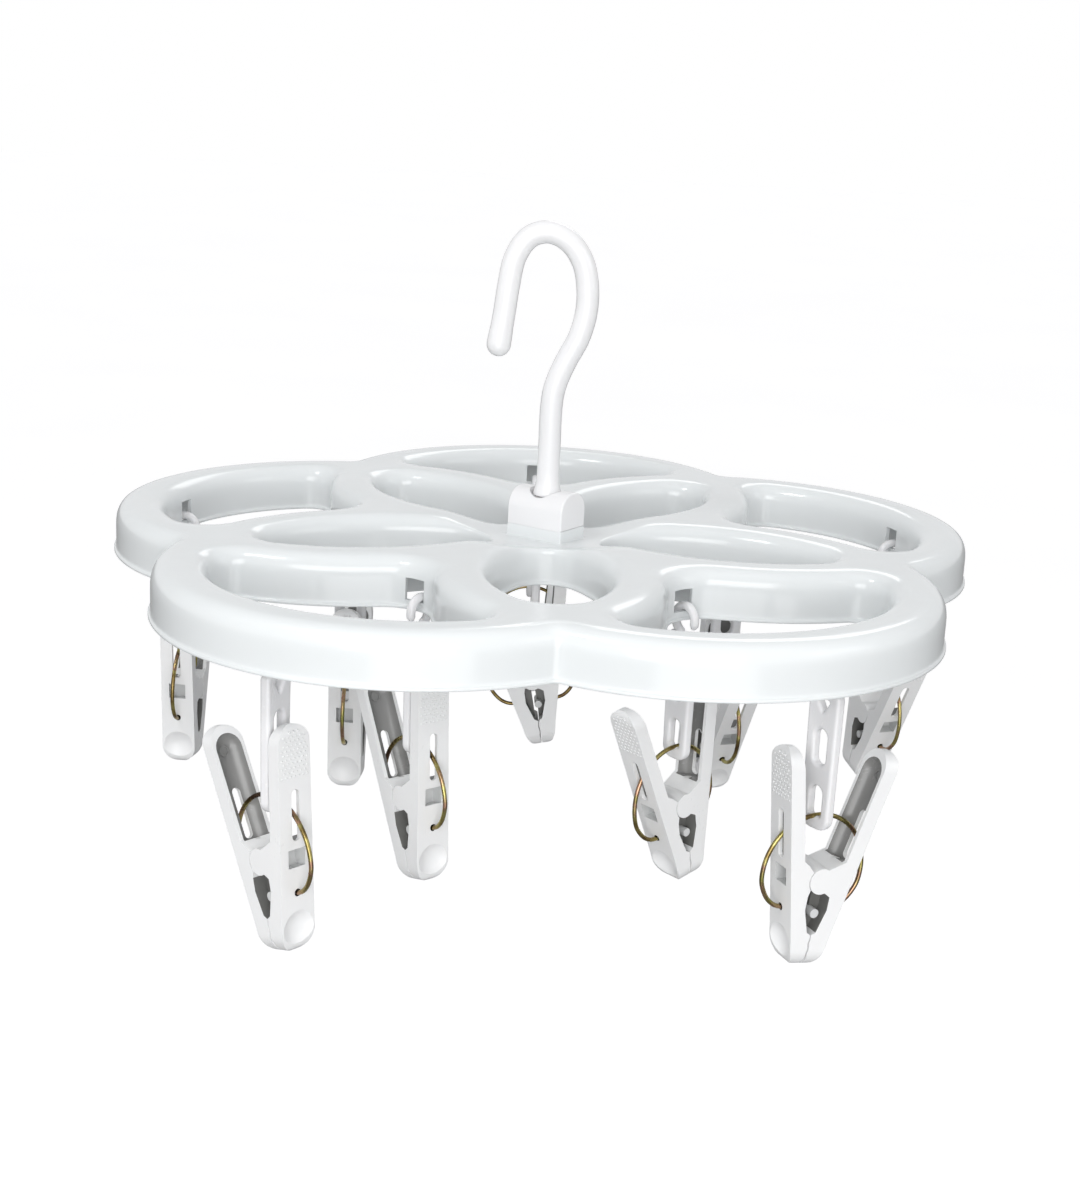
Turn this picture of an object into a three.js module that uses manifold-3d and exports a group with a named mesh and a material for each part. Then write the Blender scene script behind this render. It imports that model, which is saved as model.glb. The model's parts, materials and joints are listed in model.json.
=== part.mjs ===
// Hanging clip rack: a flower-shaped moulded frame of five overlapping rings, carried by a swivel hook,
// with ten sprung pegs that hang from the frame on plastic links.
// Millimetres, +Z up. The origin is the top of the inside of the hook, where a rail carries the rack.

import * as THREE from 'three';
import { mergeVertices } from 'three/addons/utils/BufferGeometryUtils.js';
import Module from 'manifold-3d';

const wasm = await Module();
wasm.setup();

// Frame: an upside-down channel that follows five rings. Heights are above the bottom edge of its lip.
const RINGS = 5;
const FIRST_LOBE = 18;
const RING_CENTRE = 77.5;
const RING_RADIUS = 75;
const RAIL_HALF_WIDTH = 8.9;
const RAIL_HEIGHT = 17.3;
const SHOULDER_HEIGHT = 8.9;
const RAIL_CREST_HALF = 1.4;
const WALL = 1.6;
const LIP_REACH = 1.3;
const LIP_HEIGHT = 1.2;
const PETAL_CORNER = 12;
const LOBE_CORNER = 9;
const HUB_CORNER = 15.6;
const NOTCH_CORNER = 3;
const RAIL_OVERRUN = 5;
const OUTLINE_STEP = 15;
const CORNER_STEP = 9;

// Windows in the walls of each lobe, which leave a bar below them for a link.
const WINDOW_WIDTH = 7.7;
const WINDOW_BOTTOM = 3;
const WINDOW_TOP = 10.6;
const WINDOW_DEPTH = 6;
const WINDOW_LEAD = 2;
const INNER_WALL = 75.9;
const OUTER_WALL = RING_CENTRE + RING_RADIUS - RAIL_HALF_WIDTH;

// Hub: a shallow dish with a collar, on which the hook block stands.
const DISH_RADIUS = 44;
const DISH_FLOOR_RADIUS = 17;
const DISH_HEIGHT = 12.8;
const BLOCK_LENGTH = 23.4;
const BLOCK_WIDTH = 15.5;
const BLOCK_CORNER = 6.8;
const BLOCK_ANGLE = -36;
const COLLAR_TOP = 16.9;
const BLOCK_BOTTOM = 17.2;
const BLOCK_TOP = 30.2;
const RECESS_RADIUS = 6.2;
const RECESS_FLOOR = 27.6;
const BORE_RADIUS = 3.4;
const ROUND_SIDES = 16;
const DISH_SIDES = 20;

// Hook: a round rod on a flared foot, with a pin that snaps through the block and the hub.
const ROD_RADIUS = 4;
const TIP_RADIUS = 4.3;
const FOOT_RADIUS = 5.1;
const FOOT_BOTTOM = 27.9;
const FOOT_TOP = 34;
const PIN_RADIUS = 3;
const PIN_HEAD_RADIUS = 4.4;
const PIN_HEAD_TOP = 10.8;
const PIN_BOTTOM = 7.6;
const THROAT = new THREE.Vector3(-3.6, 0, 117.2);

// Peg: two levers on a knuckle, held shut by an open wire ring. Heights are above the tips of the jaws.
const PEG_LENGTH = 71;
const PEG_WIDTH = 12.8;
const PEG_PIVOT = 29;
const JAW_GAP = 0.15;
const KNUCKLE_RADIUS = 4.2;
const SOCKET_RADIUS = 4.5;
const LEVER_THICKNESS = 5.1;
const LEVER_SLOPE = 0.2246;
const SLOT_WIDTH = 3;
const SLOT_BOTTOM = 34.5;
const SLOT_TOP = 50.5;
const WIRE_RING_RADIUS = 18.8;
const WIRE_RING_HEIGHT = 30;
const WIRE_RADIUS = 0.75;
const WIRE_END_ANGLE = -61.5;

// Link: a flat strap with an open ring on top, round the bar, and an eye below for the wire ring.
const LINK_RING_RADIUS = 4.7;
const LINK_RING_THICKNESS = 1.5;
const LINK_RING_HEIGHT = 0.1;
const LINK_RING_START = -30;
const LINK_RING_END = 265;
const LINK_WIDTH = 12.4;
const LINK_THICKNESS = 3.4;
const LINK_TOP = -3.6;
const LINK_BOTTOM = -49;
const EYE_WIDTH = 7;
const EYE_TOP = -34;
const SLOT_EYE_BOTTOM = -29;
const SLOT_EYE_TOP = -15.5;
const WIRE_RING_CENTRE = -63.5;

// Where each peg hangs: the lobe's direction, which window, how far its link and peg have turned about
// the vertical, how far the peg leans, in degrees, and how far the link has slid along its bar.
const HANGERS = [
  { lobe: 234, outer: true, linkTurn: 8, pegTurn: -9, lean: 16, slide: 2, knuckleNear: true },
  { lobe: 234, outer: false, linkTurn: 0, pegTurn: -17, lean: 15, slide: 2, knuckleNear: true },
  { lobe: 306, outer: true, linkTurn: 180, pegTurn: 166, lean: 8, slide: -1.5, knuckleNear: false },
  { lobe: 306, outer: false, linkTurn: 0, pegTurn: 3, lean: 11, slide: 2, knuckleNear: true },
  { lobe: 18, outer: true, linkTurn: 0, pegTurn: 0, lean: 15, slide: 0, knuckleNear: true },
  { lobe: 18, outer: false, linkTurn: 0, pegTurn: 0, lean: 15, slide: 0, knuckleNear: true },
  { lobe: 90, outer: true, linkTurn: 180, pegTurn: 180, lean: 9, slide: 0, knuckleNear: true },
  { lobe: 90, outer: false, linkTurn: 180, pegTurn: 180, lean: 11, slide: 0, knuckleNear: true },
  { lobe: 162, outer: true, linkTurn: 10, pegTurn: 12, lean: 8, slide: 0, knuckleNear: true },
  { lobe: 162, outer: false, linkTurn: 10, pegTurn: 15, lean: 8, slide: 0, knuckleNear: true },
];

const framePlastic = new THREE.MeshStandardMaterial({ color: 0xeef1f2, roughness: 0.22, metalness: 0 });
const hookPlastic = new THREE.MeshStandardMaterial({ color: 0xf6f6f8, roughness: 0.25, metalness: 0 });
const pegPlastic = new THREE.MeshStandardMaterial({ color: 0xf0f1f1, roughness: 0.38, metalness: 0 });
const linkPlastic = new THREE.MeshStandardMaterial({ color: 0xf3f4f5, roughness: 0.3, metalness: 0 });
const springSteel = new THREE.MeshStandardMaterial({ color: 0xb7a45c, roughness: 0.28, metalness: 1 });

const radians = THREE.MathUtils.degToRad;

// Which way a lobe of the flower points, counted round the hub.
function lobeDirection(k) {
  return radians(FIRST_LOBE + (360 / RINGS) * k);
}

// A closed three.js geometry as a solid that can be joined and cut.
function solid(geometry) {
  const plain = geometry.clone();
  plain.deleteAttribute('normal');
  plain.deleteAttribute('uv');
  const merged = mergeVertices(plain, 1e-4);
  const vertProperties = new Float32Array(merged.attributes.position.array);
  const triVerts = new Uint32Array(merged.index.array);
  return new wasm.Manifold(new wasm.Mesh({ numProp: 3, vertProperties, triVerts }));
}

// A solid as a three.js geometry.
function geometryOf(body) {
  const { vertProperties, triVerts } = body.getMesh();
  const geometry = new THREE.BufferGeometry();
  geometry.setAttribute('position', new THREE.BufferAttribute(new Float32Array(vertProperties), 3));
  geometry.setIndex(new THREE.BufferAttribute(new Uint32Array(triVerts), 1));
  geometry.computeVertexNormals();
  return geometry;
}

function part(name, body, material) {
  const mesh = new THREE.Mesh(geometryOf(body), material);
  mesh.name = name;
  return mesh;
}

function box(width, depth, bottom, top) {
  return new THREE.BoxGeometry(width, depth, top - bottom).translate(0, 0, (bottom + top) / 2);
}

// A round solid about the Z axis from a profile of [radius, height] points that ends on the axis.
function turned(profile, sides) {
  const outline = profile.map(([radius, height]) => new THREE.Vector2(radius, height));
  return new THREE.LatheGeometry(outline, sides).rotateX(Math.PI / 2);
}

function point(x, y) {
  return new THREE.Vector2(x, y);
}

// Points along an arc, an odd number of steps so that the middle one is a flat that a window can sit in.
function arc(centre, radius, from, to, step = OUTLINE_STEP) {
  const half = Math.max(1, Math.round((Math.abs(to - from) * radius) / step / 2));
  const steps = 2 * half + 1;
  return Array.from({ length: steps + 1 }, (_, i) => {
    const angle = from + ((to - from) * i) / steps;
    return point(centre.x + radius * Math.cos(angle), centre.y + radius * Math.sin(angle));
  });
}

function angleFrom(centre, target) {
  return Math.atan2(target.y - centre.y, target.x - centre.x);
}

// Where two circles cross, on the side with the larger x.
function crossing(a, radiusA, b, radiusB) {
  const gap = a.distanceTo(b);
  const along = (radiusA ** 2 - radiusB ** 2 + gap ** 2) / (2 * gap);
  const across = Math.sqrt(radiusA ** 2 - along ** 2);
  const direction = b.clone().sub(a).normalize();
  const middle = a.clone().addScaledVector(direction, along);
  const side = point(-direction.y, direction.x).multiplyScalar(across);
  const options = [middle.clone().add(side), middle.clone().sub(side)];
  return options[0].x > options[1].x ? options[0] : options[1];
}

function turnedBy(points, angle) {
  return points.map((p) => p.clone().rotateAround(point(0, 0), angle));
}

// A half outline above the X axis, closed by its mirror image.
function mirrored(upper) {
  const lower = upper.map((p) => point(p.x, -p.y)).reverse();
  return [...upper, ...lower].filter((p, i, all) => p.distanceTo(all[(i + 1) % all.length]) > 1e-6);
}

// The lens-shaped opening between two neighbouring rings, pointing along +X.
function petalOutline(inset) {
  const inner = RING_RADIUS - RAIL_HALF_WIDTH + inset;
  const corner = PETAL_CORNER + inset;
  const ring = point(RING_CENTRE * Math.cos(radians(36)), -RING_CENTRE * Math.sin(radians(36)));
  const reach = Math.sqrt((inner - corner) ** 2 - ring.y ** 2);
  const near = point(ring.x - reach, 0);
  const far = point(ring.x + reach, 0);
  return mirrored([
    ...arc(far, corner, 0, angleFrom(ring, far), CORNER_STEP).slice(0, -1),
    ...arc(ring, inner, angleFrom(ring, far), angleFrom(ring, near)).slice(0, -1),
    ...arc(near, corner, angleFrom(ring, near), Math.PI, CORNER_STEP),
  ]);
}

// The shield-shaped opening of one ring outside its two neighbours, pointing along +X.
function lobeOutline(inset) {
  const inner = RING_RADIUS - RAIL_HALF_WIDTH + inset;
  const outer = RING_RADIUS + RAIL_HALF_WIDTH - inset;
  const corner = LOBE_CORNER + inset;
  const hubCorner = HUB_CORNER + inset;
  const ring = point(RING_CENTRE, 0);
  const next = point(RING_CENTRE * Math.cos(radians(72)), RING_CENTRE * Math.sin(radians(72)));
  const turn = crossing(ring, inner - corner, next, outer + corner);
  const hub = point(next.x + Math.sqrt((outer + hubCorner) ** 2 - next.y ** 2), 0);
  const own = angleFrom(ring, turn);
  const side = [
    ...arc(turn, corner, own, angleFrom(turn, next), CORNER_STEP),
    ...arc(next, outer, angleFrom(next, turn), angleFrom(next, hub)).slice(1, -1),
  ];
  const end = arc(ring, inner, -own, own).slice(1, -1);
  const hubTurn = angleFrom(hub, next);
  const vertex = arc(hub, hubCorner, hubTurn, 2 * Math.PI - hubTurn, 2 * CORNER_STEP);
  const back = side.map((p) => point(p.x, -p.y)).reverse();
  return [...end, ...side, ...vertex, ...back];
}

// The outside of the five rings, with a small round in each notch.
function outerOutline(inset) {
  const outer = RING_RADIUS + RAIL_HALF_WIDTH - inset;
  const corner = NOTCH_CORNER + inset;
  const half = radians(180 / RINGS);
  const lobe = point(RING_CENTRE * Math.cos(half), RING_CENTRE * Math.sin(half));
  const notch = point(lobe.x + Math.sqrt((outer + corner) ** 2 - lobe.y ** 2), 0);
  const fold = angleFrom(notch, lobe);
  const notchArc = arc(notch, corner, 2 * Math.PI - fold, fold, CORNER_STEP);
  const sweep = half - angleFrom(lobe, notch);
  const lobeArc = arc(point(RING_CENTRE, 0), outer, -sweep, sweep).slice(1, -1);
  const outline = [];
  for (let k = 0; k < RINGS; k += 1) {
    const direction = lobeDirection(k);
    outline.push(...turnedBy(notchArc, direction - half), ...turnedBy(lobeArc, direction));
  }
  return outline;
}

// The frame seen from above, with its material drawn in by inset on every edge.
function framePlan(inset) {
  const plan = new THREE.Shape(outerOutline(inset));
  for (let k = 0; k < RINGS; k += 1) {
    const direction = lobeDirection(k);
    plan.holes.push(new THREE.Path(turnedBy(lobeOutline(inset), direction)));
    plan.holes.push(new THREE.Path(turnedBy(petalOutline(inset), direction + Math.PI / RINGS)));
  }
  return plan;
}

// The rails as a solid with a rounded top, down past the bottom edge.
function rails(inset, segments) {
  const bevelSize = RAIL_HALF_WIDTH - RAIL_CREST_HALF - inset;
  const bevelThickness = RAIL_HEIGHT - SHOULDER_HEIGHT - (inset > 0 ? inset * 0.5 : 0);
  const shoulder = RAIL_HEIGHT - inset - bevelThickness;
  const depth = shoulder + RAIL_OVERRUN;
  const geometry = new THREE.ExtrudeGeometry(framePlan(inset), {
    depth,
    steps: 1,
    bevelThickness,
    bevelSize,
    bevelOffset: -bevelSize,
    bevelSegments: segments,
  });
  return geometry.translate(0, 0, shoulder - depth);
}

// The space that dishes the top of the hub, from its floor upward.
function hubDish(drop) {
  return turned(
    [
      [0, DISH_HEIGHT - drop],
      [DISH_FLOOR_RADIUS, DISH_HEIGHT - drop],
      [DISH_RADIUS, RAIL_HEIGHT - drop + 0.1],
      [DISH_RADIUS, RAIL_HEIGHT + 8],
      [0, RAIL_HEIGHT + 8],
    ],
    DISH_SIDES,
  );
}

// One window, in the wall whose face is at the given distance from the hub.
function windowCut(face, outward, direction) {
  const centre = face + (outward ? 1 : -1) * (WINDOW_DEPTH / 2 - WINDOW_LEAD);
  const cut = box(WINDOW_DEPTH, WINDOW_WIDTH, WINDOW_BOTTOM, WINDOW_TOP);
  return cut.translate(centre, 0, 0).rotateZ(direction);
}

function frame() {
  const lip = new THREE.ExtrudeGeometry(framePlan(-LIP_REACH), { depth: LIP_HEIGHT, bevelEnabled: false });
  const span = 2 * (RING_CENTRE + RING_RADIUS + 2 * RAIL_HALF_WIDTH);
  const above = box(span, span, 0, RAIL_HEIGHT + 1);
  const outside = solid(rails(0, 2)).intersect(solid(above)).subtract(solid(hubDish(0))).add(solid(lip));
  const hollow = solid(rails(WALL, 1)).subtract(solid(hubDish(WALL)));
  let body = outside.subtract(hollow);
  const collar = box(BLOCK_LENGTH, BLOCK_WIDTH, DISH_HEIGHT - WALL, COLLAR_TOP);
  collar.rotateZ(radians(BLOCK_ANGLE));
  const boreTop = COLLAR_TOP + WALL;
  const bore = turned([[0, 0], [BORE_RADIUS, 0], [BORE_RADIUS, boreTop], [0, boreTop]], ROUND_SIDES);
  body = body.add(solid(collar)).subtract(solid(bore));
  for (let k = 0; k < RINGS; k += 1) {
    const direction = lobeDirection(k);
    body = body.subtract(solid(windowCut(OUTER_WALL, true, direction)));
    body = body.subtract(solid(windowCut(INNER_WALL, false, direction)));
  }
  return body;
}

// The arch-topped block that the hook turns in.
function hookBlock() {
  const half = BLOCK_WIDTH / 2;
  const arch = new THREE.Shape([point(-half, BLOCK_BOTTOM), point(half, BLOCK_BOTTOM)]);
  arch.absarc(half - BLOCK_CORNER, BLOCK_TOP - BLOCK_CORNER, BLOCK_CORNER, 0, Math.PI / 2, false);
  arch.absarc(BLOCK_CORNER - half, BLOCK_TOP - BLOCK_CORNER, BLOCK_CORNER, Math.PI / 2, Math.PI, false);
  const options = { depth: BLOCK_LENGTH, bevelEnabled: false, curveSegments: 3 };
  const loaf = new THREE.ExtrudeGeometry(arch, options)
    .translate(0, 0, -BLOCK_LENGTH / 2)
    .rotateX(Math.PI / 2)
    .rotateZ(radians(BLOCK_ANGLE) + Math.PI / 2);
  const bore = turned(
    [
      [0, 0],
      [BORE_RADIUS, 0],
      [BORE_RADIUS, RECESS_FLOOR],
      [RECESS_RADIUS, RECESS_FLOOR],
      [RECESS_RADIUS, BLOCK_TOP + 2],
      [0, BLOCK_TOP + 2],
    ],
    ROUND_SIDES,
  );
  return solid(loaf).subtract(solid(bore));
}

// The hook: rod, ball tip, flared foot and snap pin in one moulding. It lies in the XZ plane.
function hook() {
  const route = new THREE.CatmullRomCurve3(
    [
      [0, FOOT_TOP - 2],
      [0, 46],
      [0, 60],
      [1.2, 68.2],
      [4.4, 76.5],
      [8.5, 84.9],
      [10.7, 93.9],
      [10.7, 103],
      [8.6, 111.5],
      [3.6, 118.2],
      [-3.6, 121.2],
      [-10.6, 119],
      [-15.2, 111.8],
      [-17, 102],
      [-18.1, 92.6],
      [-19.6, 81.5],
    ].map(([x, z]) => new THREE.Vector3(x, 0, z)),
  );
  const circle = new THREE.Shape();
  circle.absarc(0, 0, ROD_RADIUS, 0, 2 * Math.PI, false);
  const rod = new THREE.ExtrudeGeometry(circle, { steps: 28, extrudePath: route, curveSegments: 5 });
  const tip = new THREE.SphereGeometry(TIP_RADIUS, 10, 6).translate(-19.7, 0, 81.3);
  const foot = turned(
    [
      [0, PIN_BOTTOM],
      [PIN_RADIUS, PIN_BOTTOM],
      [PIN_HEAD_RADIUS, PIN_HEAD_TOP - 1],
      [PIN_HEAD_RADIUS, PIN_HEAD_TOP],
      [PIN_RADIUS, PIN_HEAD_TOP],
      [PIN_RADIUS, FOOT_BOTTOM],
      [FOOT_RADIUS - 0.5, FOOT_BOTTOM],
      [FOOT_RADIUS, FOOT_BOTTOM + 0.6],
      [ROD_RADIUS + 0.1, FOOT_TOP],
      [0, FOOT_TOP],
    ],
    ROUND_SIDES,
  );
  return solid(rod).add(solid(tip)).add(solid(foot));
}

// The outer face of a lever at a height above the tips.
function outerFace(height) {
  return 6.8 + (height - 9) * LEVER_SLOPE;
}

// The side view of a lever on the +X side, in X and height above the tips.
function leverProfile(hasKnuckle) {
  const reach = hasKnuckle ? radians(64) : radians(40);
  const radius = hasKnuckle ? KNUCKLE_RADIUS : SOCKET_RADIUS;
  const pivot = point(0, PEG_PIVOT);
  const joint = hasKnuckle
    ? arc(pivot, radius, reach, 2 * Math.PI - reach, 3.6)
    : arc(pivot, radius, reach, -reach, 2.2);
  const top = outerFace(PEG_LENGTH - 4);
  return [
    point(JAW_GAP, 0.4),
    point(1.8, 0),
    point(4.2, 1.6),
    point(6, 5.2),
    point(outerFace(9.5), 9.5),
    point(top, PEG_LENGTH - 4),
    point(top - 0.9, PEG_LENGTH - 0.7),
    point(top - 2.4, PEG_LENGTH),
    point(top - 4.4, PEG_LENGTH - 1.6),
    point(outerFace(35.5) - LEVER_THICKNESS, 35.5),
    ...(hasKnuckle ? [] : [point(5.6, 34.1)]),
    ...joint,
    ...(hasKnuckle ? [point(2.8, 24.7)] : []),
    point(4, 23.9),
    point(4, 19.6),
    point(1.6, 12.2),
    point(JAW_GAP, 11.6),
  ];
}

// The face of a lever: a long plate with two round ends.
function leverFace() {
  const half = PEG_WIDTH / 2;
  const face = new THREE.Shape();
  face.absarc(0, half - 0.2, half, Math.PI, 2 * Math.PI, false);
  face.absarc(0, PEG_LENGTH - half + 0.2, half - 0.4, 0, Math.PI, false);
  return face;
}

// A lever with its jaw, handle and wire slot. The pivot end of one has a knuckle, the other a socket.
function lever(hasKnuckle) {
  const profile = new THREE.Shape(leverProfile(hasKnuckle));
  const slab = new THREE.ExtrudeGeometry(profile, { depth: PEG_WIDTH, bevelEnabled: false })
    .translate(0, 0, -PEG_WIDTH / 2)
    .rotateX(Math.PI / 2);
  const options = { depth: 3 * PEG_WIDTH, bevelEnabled: false, curveSegments: 3 };
  const face = new THREE.ExtrudeGeometry(leverFace(), options)
    .translate(0, 0, -PEG_WIDTH)
    .rotateX(Math.PI / 2)
    .rotateZ(Math.PI / 2);
  const slot = box(2 * PEG_WIDTH, SLOT_WIDTH, SLOT_BOTTOM, SLOT_TOP).translate(PEG_WIDTH, 0, 0);
  return solid(slab).intersect(solid(face)).subtract(solid(slot));
}

// The open wire ring that holds the jaws shut, in the XZ plane about its own centre.
function spring() {
  const from = radians(WIRE_END_ANGLE);
  const to = Math.PI - from;
  const points = Array.from({ length: 13 }, (_, i) => {
    const angle = from + ((to - from) * i) / 12;
    return new THREE.Vector3(WIRE_RING_RADIUS * Math.cos(angle), 0, WIRE_RING_RADIUS * Math.sin(angle));
  });
  const circle = new THREE.Shape();
  circle.absarc(0, 0, WIRE_RADIUS, 0, 2 * Math.PI, false);
  const route = new THREE.CatmullRomCurve3(points);
  return solid(new THREE.ExtrudeGeometry(circle, { steps: 15, extrudePath: route, curveSegments: 3 }));
}

// The link that hangs on a bar, in the YZ plane, with heights above the lip of the frame.
function link() {
  const half = LINK_WIDTH / 2;
  const strap = new THREE.Shape();
  strap.moveTo(-half + 2, LINK_TOP);
  strap.lineTo(-half, LINK_TOP - 3);
  strap.absarc(-half + 3, LINK_BOTTOM + 3, 3, Math.PI, 1.5 * Math.PI, false);
  strap.absarc(half - 3, LINK_BOTTOM + 3, 3, 1.5 * Math.PI, 2 * Math.PI, false);
  strap.lineTo(half, LINK_TOP - 3);
  strap.lineTo(half - 2, LINK_TOP);
  const eyeBottom = WIRE_RING_CENTRE + WIRE_RING_RADIUS - WIRE_RADIUS - 0.3;
  const eye = new THREE.Path();
  eye.moveTo(-EYE_WIDTH / 2, eyeBottom);
  eye.lineTo(EYE_WIDTH / 2, eyeBottom);
  eye.absarc(0, EYE_TOP - EYE_WIDTH / 2, EYE_WIDTH / 2, 0, Math.PI, false);
  const slot = new THREE.Path();
  const slotRadius = EYE_WIDTH / 2;
  slot.absarc(0, SLOT_EYE_BOTTOM + slotRadius, slotRadius, Math.PI, 2 * Math.PI, false);
  slot.absarc(0, SLOT_EYE_TOP - slotRadius, slotRadius, 0, Math.PI, false);
  strap.holes.push(eye, slot);
  const options = { depth: LINK_THICKNESS, bevelEnabled: false, curveSegments: 3 };
  const plate = new THREE.ExtrudeGeometry(strap, options)
    .translate(0, 0, -LINK_THICKNESS / 2)
    .rotateX(Math.PI / 2)
    .rotateZ(Math.PI / 2);
  const from = radians(LINK_RING_START);
  const to = radians(LINK_RING_END);
  const points = Array.from({ length: 9 }, (_, i) => {
    const angle = from + ((to - from) * i) / 8;
    const y = LINK_RING_RADIUS * Math.cos(angle);
    return new THREE.Vector3(0, y, LINK_RING_HEIGHT + LINK_RING_RADIUS * Math.sin(angle));
  });
  const circle = new THREE.Shape();
  circle.absarc(0, 0, LINK_RING_THICKNESS, 0, 2 * Math.PI, false);
  const route = new THREE.CatmullRomCurve3(points);
  const ring = new THREE.ExtrudeGeometry(circle, { steps: 9, extrudePath: route, curveSegments: 3 });
  return solid(ring).add(solid(plate));
}

// One link with its peg, hung from a window of the frame.
function hanger(number, place) {
  const label = `peg_${String(number).padStart(2, '0')}`;
  const bar = new THREE.Group();
  const distance = place.outer ? OUTER_WALL + WALL / 2 : INNER_WALL - WALL / 2;
  bar.rotation.z = radians(place.lobe);
  const hung = new THREE.Group();
  hung.position.set(distance, place.slide, 0);
  bar.add(hung);

  const strap = part(`${label}_link`, link(), linkPlastic);
  strap.rotation.z = radians(90 + place.linkTurn);
  hung.add(strap);

  const peg = new THREE.Group();
  peg.rotation.z = radians(90 + place.pegTurn);
  const leaning = new THREE.Group();
  leaning.position.z = WIRE_RING_CENTRE;
  leaning.rotation.y = radians(-place.lean);
  const levers = new THREE.Group();
  levers.position.z = -WIRE_RING_HEIGHT;
  const near = part(`${label}_near_lever`, lever(place.knuckleNear), pegPlastic);
  const far = part(`${label}_far_lever`, lever(!place.knuckleNear), pegPlastic);
  far.rotation.z = Math.PI;
  levers.add(near, far);
  leaning.add(levers, part(`${label}_spring`, spring(), springSteel));
  peg.add(leaning);
  hung.add(peg);
  return bar;
}

const rack = new THREE.Group();
rack.position.copy(THROAT).negate();
rack.add(part('frame', frame(), framePlastic));
rack.add(part('hook_block', hookBlock(), hookPlastic));
rack.add(part('hook', hook(), hookPlastic));
HANGERS.forEach((place, index) => rack.add(hanger(index + 1, place)));

const clipRack = new THREE.Group();
clipRack.add(rack);

export default clipRack;
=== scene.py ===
import json
import math

import bmesh
import bpy
import numpy as np
from mathutils import Matrix, Vector
from mathutils.geometry import delaunay_2d_cdt

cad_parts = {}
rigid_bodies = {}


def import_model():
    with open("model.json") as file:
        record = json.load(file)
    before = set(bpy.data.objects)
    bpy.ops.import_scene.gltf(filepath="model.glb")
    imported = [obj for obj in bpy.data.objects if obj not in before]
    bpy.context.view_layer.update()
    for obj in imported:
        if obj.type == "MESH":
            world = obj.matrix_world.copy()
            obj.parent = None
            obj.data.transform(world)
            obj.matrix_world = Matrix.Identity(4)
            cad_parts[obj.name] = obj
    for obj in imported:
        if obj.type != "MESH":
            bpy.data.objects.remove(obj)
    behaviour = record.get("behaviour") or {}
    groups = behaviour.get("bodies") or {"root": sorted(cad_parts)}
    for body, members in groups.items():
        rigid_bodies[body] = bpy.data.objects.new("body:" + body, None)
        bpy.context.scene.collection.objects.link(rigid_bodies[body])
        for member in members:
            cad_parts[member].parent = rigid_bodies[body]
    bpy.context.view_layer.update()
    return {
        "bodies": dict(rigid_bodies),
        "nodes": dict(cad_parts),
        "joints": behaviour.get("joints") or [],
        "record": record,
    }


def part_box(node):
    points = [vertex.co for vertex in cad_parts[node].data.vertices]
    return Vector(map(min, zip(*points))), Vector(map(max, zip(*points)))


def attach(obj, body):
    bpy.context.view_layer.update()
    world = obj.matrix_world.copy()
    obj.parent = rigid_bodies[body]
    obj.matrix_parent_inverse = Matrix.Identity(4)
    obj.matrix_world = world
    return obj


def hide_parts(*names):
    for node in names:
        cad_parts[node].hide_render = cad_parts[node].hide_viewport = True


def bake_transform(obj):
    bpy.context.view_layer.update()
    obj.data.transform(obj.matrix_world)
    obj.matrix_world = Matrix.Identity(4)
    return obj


# A hanging clip rack: fine moulded surfaces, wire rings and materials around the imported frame.
# Shapes are worked out in millimetres in the frame's own hub coordinates, then placed in metres.

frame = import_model()
joints = {joint["name"]: joint for joint in frame["joints"]}
mounts = {mount["name"]: mount for mount in frame["record"]["mounts"]}
pegs = sorted(body for body in frame["bodies"] if body.startswith("peg_") and body.count("_") == 1)

MM = 0.001

# Flower frame: an upside-down channel along five rings. Insets run from an edge into the material.
RINGS = 5
FIRST_LOBE = 18
RING_CENTRE = 77.5
RING_RADIUS = 75
RAIL_HALF = 8.9
RAIL_HEIGHT = 17.3
SHOULDER = 8.9
CREST_INSET = 7.5
RAIL_SQUARENESS = 2.7
WALL = 1.6
INNER_SHOULDER = 8.1
LIP_REACH = 0.8
PETAL_CORNER = 12
LOBE_CORNER = 9
HUB_CORNER = 15.6
NOTCH_CORNER = 3
OUTLINE_STEP = 1.8
WINDOW_WIDTH = 7.7
WINDOW_BOTTOM = 3
WINDOW_TOP = 10.6
WINDOW_ROWS = 5
CURVE_ROWS = 10
CREST_GRID = 2.0
CREST_MARGIN = 0.9

# Hub: the dished middle, the collar and the block that carries the hook.
DISH_FLOOR = 12.8
DISH_FLOOR_RADIUS = 17
DISH_RADIUS = 52
DISH_BLEND = 1.8
BLOCK_LENGTH = 23.4
BLOCK_WIDTH = 15.5
BLOCK_CORNER = 6.8
BLOCK_ANGLE = -36
COLLAR_TOP = 17.15
BLOCK_BOTTOM = 17.1
BLOCK_TOP = 30.2
RECESS_RADIUS = 6.2
RECESS_FLOOR = 27.6
BORE_RADIUS = 3.4

# Hook
ROD_RADIUS = 4
TIP_RADIUS = 4.3
HOOK_SIDES = 40

# Peg, with heights above the tips of its jaws and x towards the outside of a lever.
PEG_LENGTH = 71
PEG_HALF = 6.4
PEG_PIVOT = 29
JAW_GAP = 0.15
KNUCKLE_RADIUS = 4.2
SOCKET_RADIUS = 4.5
LEVER_SLOPE = 0.2246
LEVER_LEAN = math.atan(LEVER_SLOPE)
LEVER_THICKNESS = 5.1
WIRE_RING_RADIUS = 18.8
WIRE_RING_HEIGHT = 30
WIRE_RADIUS = 0.75
WIRE_RING_HALF_WIDTH = 18
WIRE_HOLE_HEIGHT = 18.3

# Link, with heights above the lip of the frame.
LINK_RING_RADIUS = 4.7
LINK_RING_SECTION = 1.5
LINK_RING_HEIGHT = 0.1
LINK_HALF_THICKNESS = 1.7
LINK_ROUND = 1.1


# ---------------------------------------------------------------- meshes

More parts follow.
